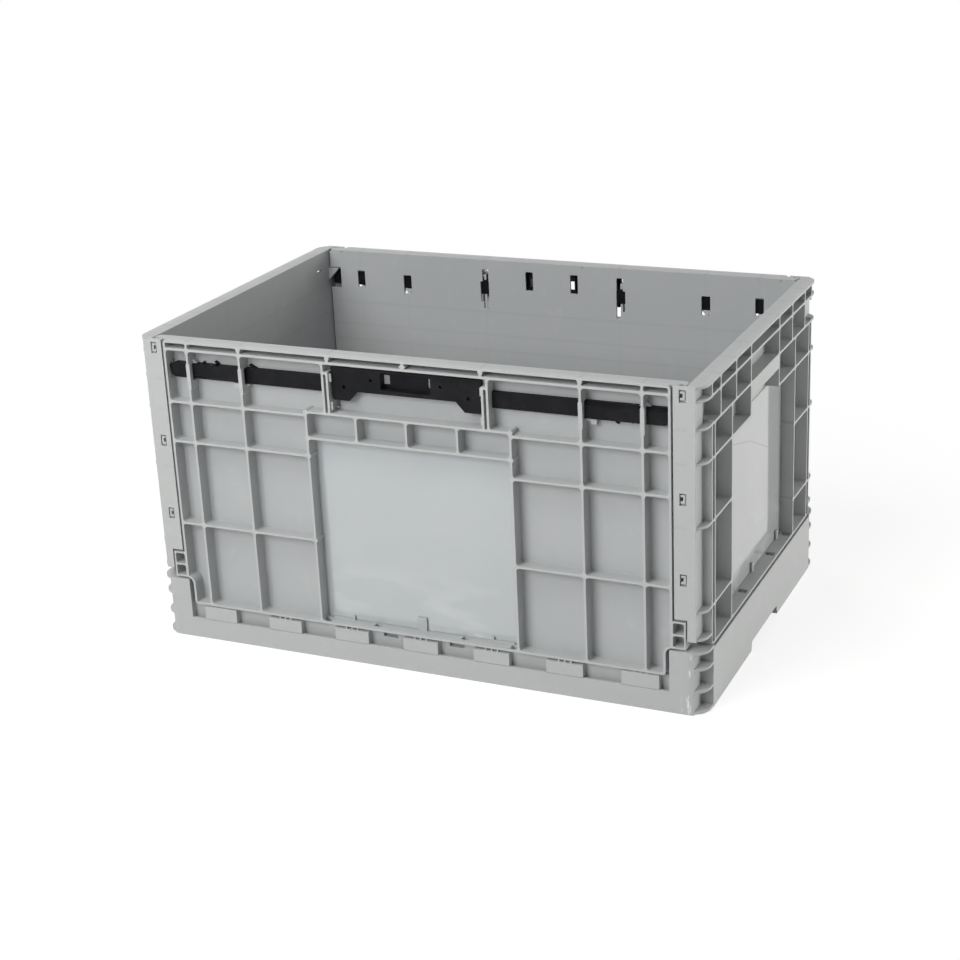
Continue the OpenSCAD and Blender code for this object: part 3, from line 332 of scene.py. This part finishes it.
def calendered_sheet(name, foot, tones, gleam, sheet_line=None):
    """Rigid clear PVC sheet over the grey wall, calendered and held in by clips.

    It is glossy from both its faces, slightly wavy so that reflections bend, with faint whitish
    smears near its foot. A sheet given a line also has a thin darker line across it.
    """
    material, tree, place = new_material(name)
    axes = add(tree, "ShaderNodeSeparateXYZ", {"Vector": place}).outputs
    wiped = add(tree, "ShaderNodeMapping", {
        "Vector": place, "Scale": (SMEAR_SQUEEZE, SMEAR_SQUEEZE, 1.0)})
    smear = add(tree, "ShaderNodeTexNoise", {
        "Vector": wiped, "Scale": 1 / SMEAR_HEIGHT, "Detail": 2.0})
    low = add(tree, "ShaderNodeMapRange", {
        "Value": axes["Z"], "From Min": foot + SMEAR_TOP, "From Max": foot})
    patch = add(tree, "ShaderNodeMapRange", {
        "Value": smear, "From Min": SMEAR_LEVELS[0], "From Max": SMEAR_LEVELS[1]})
    smeared = add(tree, "ShaderNodeMath", {0: low, 1: patch}, operation="MULTIPLY")
    whitened = add(tree, "ShaderNodeMath", {0: smeared, 1: SMEAR_SHARE}, operation="MULTIPLY")

    layers = [(whitened, SMEARED)]
    if sheet_line:
        layers.append((sheet_line_share(tree, axes, sheet_line), SHEET_LINE_GREY))
    cloud = add(tree, "ShaderNodeTexNoise", {
        "Vector": place, "Scale": 1 / SHEET_CLOUD, "Detail": 2.0})
    tone = add(tree, "ShaderNodeMix", {
        FACTOR: cloud, COLOUR_A: linear(tones[0]), COLOUR_B: linear(tones[1])}, data_type="RGBA")
    for share, colour in layers:
        tone = add(tree, "ShaderNodeMix", {
            FACTOR: share, COLOUR_A: tone, COLOUR_B: linear(colour)}, data_type="RGBA")

    wave = add(tree, "ShaderNodeTexNoise", {
        "Vector": place, "Scale": 1 / SHEET_WAVE, "Detail": 1.0})
    bump = add(tree, "ShaderNodeBump", {"Height": wave, "Strength": 0.5, "Distance": WAVE_DEPTH})
    gloss = add(tree, "ShaderNodeMapRange", {
        "Value": smeared, "To Min": SHEET_GLOSS[0], "To Max": SHEET_GLOSS[1]})
    shader = add(tree, "ShaderNodeBsdfPrincipled", {
        "Base Color": tone, "Roughness": gloss, "IOR": PVC_IOR, "Coat Weight": gleam,
        "Coat Roughness": 0.06, "Coat IOR": PVC_IOR, "Normal": bump, "Coat Normal": bump})
    add(tree, "ShaderNodeOutputMaterial", {"Surface": shader})
    return material


# Steel between and on its streaks, their roughness, width and depth, and their squeeze along a rod
STEEL = ("#8b8d90", "#b3b5b7")
STEEL_GLOSS = (0.28, 0.42)
STREAK_WIDTH = 0.6 * MM
STREAK_DEPTH = 0.05 * MM
STREAK_SQUEEZE = 0.02


def drawn_steel(name, squeeze):
    """Carbon steel rod, cold drawn and lightly oiled: bright grey with fine streaks along its length."""
    material, tree, place = new_material(name)
    along = add(tree, "ShaderNodeMapping", {"Vector": place, "Scale": squeeze})
    streak = add(tree, "ShaderNodeTexNoise", {
        "Vector": along, "Scale": 1 / STREAK_WIDTH, "Detail": 3.0})
    tone = add(tree, "ShaderNodeMix", {
        FACTOR: streak, COLOUR_A: linear(STEEL[0]), COLOUR_B: linear(STEEL[1])}, data_type="RGBA")
    bump = add(tree, "ShaderNodeBump", {
        "Height": streak, "Strength": 0.2, "Distance": STREAK_DEPTH})
    gloss = add(tree, "ShaderNodeMapRange", {
        "Value": streak, "To Min": STEEL_GLOSS[0], "To Max": STEEL_GLOSS[1]})
    shader = add(tree, "ShaderNodeBsdfPrincipled", {
        "Base Color": tone, "Metallic": 1.0, "Roughness": gloss, "Normal": bump})
    add(tree, "ShaderNodeOutputMaterial", {"Surface": shader})
    return material


# How much of the paler outer grey, painted light with some handling, the outer faces of the walls, the
# base and the keepers take
WALL_OUTER_SHARE, BASE_OUTER_SHARE, KEEPER_OUTER_SHARE = 0.9, 0.5, 0.6

grey_wall = moulded_grey("polypropylene_long_wall", WALL_OUTER_SHARE, sinks=LONG_SINKS)
dress(["base_tray"], moulded_grey("polypropylene_base", BASE_OUTER_SHARE, scuffs=BASE_SCUFFS))
dress(["front_wall", "rear_wall"], grey_wall)
dress(["left_end_wall", "right_end_wall"],
      moulded_grey("polypropylene_end_wall", WALL_OUTER_SHARE, sinks=END_SINKS))
dress(KEEPERS, moulded_grey("polypropylene_keeper", KEEPER_OUTER_SHARE))
dress([*BARS, "front_handle", "rear_handle"], moulded_black("nylon_matt_black"))
dress(["front_label_sheet", "rear_label_sheet"],
      calendered_sheet("pvc_sheet_long_side", LONG_FOOT, FRESH_SHEET, FRESH_GLEAM))
# The end sheets take darker greys, painted shade on the ends
dress(["left_label_sheet"], calendered_sheet("pvc_sheet_end", END_FOOT, SHADED_END_SHEET, DULL_GLEAM))
dress(["right_label_sheet"],
      calendered_sheet("pvc_sheet_with_line", END_FOOT, SHADED_END_SHEET, DULL_GLEAM, RIGHT_SHEET_LINE))
dress(["front_hinge_rod", "rear_hinge_rod"],
      drawn_steel("steel_drawn_along_length", (STREAK_SQUEEZE, 1, 1)))
dress(["left_hinge_rod", "right_hinge_rod"],
      drawn_steel("steel_drawn_across", (1, STREAK_SQUEEZE, 1)))

# Nibs on the front rim's inner edge, their half sizes, and the points round a ring and rings of each
NIB_PLACES = np.array([(264.6, -181.4, 325.0), (-36.4, -181.4, 325.0), (-262.0, -181.4, 325.0)]) * MM
NIB_SIZE = np.array((1.7, 1.2, 0.9)) * MM
NIB_AROUND, NIB_RINGS = 16, 7


def flash_nibs(name, centres, body):
    """Nibs of plastic left where the mould was filled: ellipsoids half sunk into the rim's inner edge.

    A point at longitude u and polar angle v lies at the centre plus a sin v cos u, b sin v sin u and
    c cos v along the three axes, where a, b and c are the half sizes. Each nib is two poles with rings
    of points between them, joined by triangles and quads.
    """
    u = np.linspace(0, 2 * np.pi, NIB_AROUND, endpoint=False)
    v = np.linspace(0, np.pi, NIB_RINGS + 2)[1:-1]
    ring = np.stack([np.outer(np.sin(v), np.cos(u)), np.outer(np.sin(v), np.sin(u)),
                     np.outer(np.cos(v), np.ones(NIB_AROUND))], axis=-1).reshape(-1, 3)
    unit = np.vstack([ring, [[0, 0, 1], [0, 0, -1]]])
    points = (centres[:, None, :] + unit * NIB_SIZE).reshape(-1, 3)

    i = np.arange(NIB_AROUND)
    j = (i + 1) % NIB_AROUND
    start = (np.arange(NIB_RINGS - 1) * NIB_AROUND)[:, None]
    below = start + NIB_AROUND
    quads = np.stack([start + i, below + i, below + j, start + j], axis=-1).reshape(-1, 4)
    last = (NIB_RINGS - 1) * NIB_AROUND
    top, foot = len(ring), len(ring) + 1
    caps = np.vstack([np.stack([np.full(NIB_AROUND, top), i, j], axis=-1),
                      np.stack([np.full(NIB_AROUND, foot), last + j, last + i], axis=-1)])
    shift = (np.arange(len(centres)) * len(unit))[:, None, None]
    faces = (quads + shift).reshape(-1, 4).tolist() + (caps + shift).reshape(-1, 3).tolist()

    mesh = bpy.data.meshes.new(name)
    mesh.from_pydata(points.tolist(), [], faces)
    mesh.shade_smooth()
    mesh.materials.append(grey_wall)
    piece = bpy.data.objects.new(name, mesh)
    bpy.context.scene.collection.objects.link(piece)
    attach(piece, body)


flash_nibs("front_rim_nibs", NIB_PLACES, "front_panel")
flash_nibs("rear_rim_nibs", NIB_PLACES * (-1, -1, 1), "rear_panel")

# Light on the object from the white surround, and lamps as name, place, sizes, watts and colour
AMBIENT = 0.14
LAMPS = (("key", (-0.55, -2.1, 1.3), (1.3, 1.0), 32, "#ffffff"),
         ("right", (2.05, 0.85, 0.45), (1.2, 0.9), 27, "#fffefb"),
         ("rear", (-1.6, 1.8, 1.0), (1.4, 1.2), 22, "#ffffff"),
         ("top", (-0.4, -1.0, 1.9), (0.8, 0.8), 13, "#fffefb"))
AIM = Vector((0, 0, 0.16))

# Floor: half its side, the paper that lights the object, and as it is seen the part that takes the
# shadow, the light of its own, and the distances over which it turns to plain white
FLOOR_REACH = 8.0
PAPER = (0.72, 0.72, 0.72, 1)
SHADED = (0.3, 0.3, 0.3, 1)
FLOOR_LIFT = 0.8
FLOOR_FADE = (0.45, 0.85)

# Camera fitted to the photograph: place, angles in degrees, focal length in pixels of its frame
CAMERA_PLACE = (0.7826, -1.7271, 0.8498)
BEARING, ELEVATION, ROLL = 24.804, 20.664, -2.662
FOCAL_PX, FRAME_PX = 1892.7, 960
SENSOR = 36.0


def seen_directly(tree):
    """1 for rays from the camera and for what gloss and clear pieces show, else 0."""
    path = add(tree, "ShaderNodeLightPath").outputs
    seen = add(tree, "ShaderNodeMath", {
        0: path["Is Camera Ray"], 1: path["Is Glossy Ray"]}, operation="MAXIMUM")
    return add(tree, "ShaderNodeMath", {
        0: seen, 1: path["Is Transmission Ray"]}, operation="MAXIMUM")


def surround():
    """World that is seen as plain white and lights the object only a little."""
    world = bpy.data.worlds.new("studio")
    bpy.context.scene.world = world
    world.use_nodes = True
    tree = world.node_tree
    tree.nodes.clear()
    level = add(tree, "ShaderNodeMix", {FACTOR: seen_directly(tree), FLOAT_A: AMBIENT, FLOAT_B: 1.0})
    sky = add(tree, "ShaderNodeBackground", {"Color": (1, 1, 1, 1), "Strength": level})
    add(tree, "ShaderNodeOutputWorld", {"Surface": sky})


def lamps():
    """Four soft rectangular lamps aimed at the middle of the crate."""
    for name, place, sizes, power, colour in LAMPS:
        lamp = bpy.data.lights.new(name, "AREA")
        lamp.shape = "RECTANGLE"
        lamp.size, lamp.size_y = sizes
        lamp.energy = power
        lamp.color = linear(colour)[:3]
        holder = bpy.data.objects.new(name, lamp)
        holder.location = place
        holder.rotation_euler = (AIM - Vector(place)).to_track_quat("-Z", "Y").to_euler()
        # Gloss shows the white surround alone, or the rims would glare against the lamps
        holder.visible_glossy = False
        bpy.context.scene.collection.objects.link(holder)


def paper_floor():
    """White floor that keeps the shadow near the crate and fades into the surround."""
    mesh = bpy.data.meshes.new("floor")
    corners = [(sx * FLOOR_REACH, sy * FLOOR_REACH, 0) for sx, sy in ((-1, -1), (1, -1), (1, 1), (-1, 1))]
    mesh.from_pydata(corners, [], [(0, 1, 2, 3)])
    floor = bpy.data.objects.new("floor", mesh)
    bpy.context.scene.collection.objects.link(floor)

    material, tree, place = new_material("white_paper_floor")
    distance = add(tree, "ShaderNodeVectorMath", {0: place}, operation="LENGTH")
    away = add(tree, "ShaderNodeMapRange", {
        "Value": distance, "From Min": FLOOR_FADE[0], "From Max": FLOOR_FADE[1]},
        interpolation_type="SMOOTHSTEP")
    paper = add(tree, "ShaderNodeBsdfDiffuse", {"Color": PAPER})
    shade = add(tree, "ShaderNodeBsdfDiffuse", {"Color": SHADED})
    lift = add(tree, "ShaderNodeEmission", {"Strength": FLOOR_LIFT})
    white = add(tree, "ShaderNodeEmission", {"Strength": 1.0})
    near = add(tree, "ShaderNodeAddShader", {0: shade, 1: lift})
    shown = add(tree, "ShaderNodeMixShader", {0: away, 1: near, 2: white})
    mix = add(tree, "ShaderNodeMixShader", {0: seen_directly(tree), 1: paper, 2: shown})
    add(tree, "ShaderNodeOutputMaterial", {"Surface": mix})
    mesh.materials.append(material)


def camera():
    """Camera of the photograph, from its fitted place, bearing, elevation, roll and focal length."""
    bearing, elevation, roll = (math.radians(a) for a in (BEARING, ELEVATION, ROLL))
    level = math.cos(elevation)
    back = Vector((math.sin(bearing) * level, -math.cos(bearing) * level, math.sin(elevation)))
    flat = Vector((math.cos(bearing), math.sin(bearing), 0))
    up = back.cross(flat)
    right = math.cos(roll) * flat + math.sin(roll) * up
    top = math.cos(roll) * up - math.sin(roll) * flat
    data = bpy.data.cameras.new("camera")
    data.sensor_width = SENSOR
    data.lens = SENSOR * FOCAL_PX / FRAME_PX
    view = bpy.data.objects.new("camera", data)
    turn = Matrix((right, top, back)).transposed().to_4x4()
    view.matrix_world = Matrix.Translation(CAMERA_PLACE) @ turn
    bpy.context.scene.collection.objects.link(view)
    bpy.context.scene.camera = view


surround()
lamps()
paper_floor()
camera()
bpy.context.scene.view_settings.view_transform = "Standard"
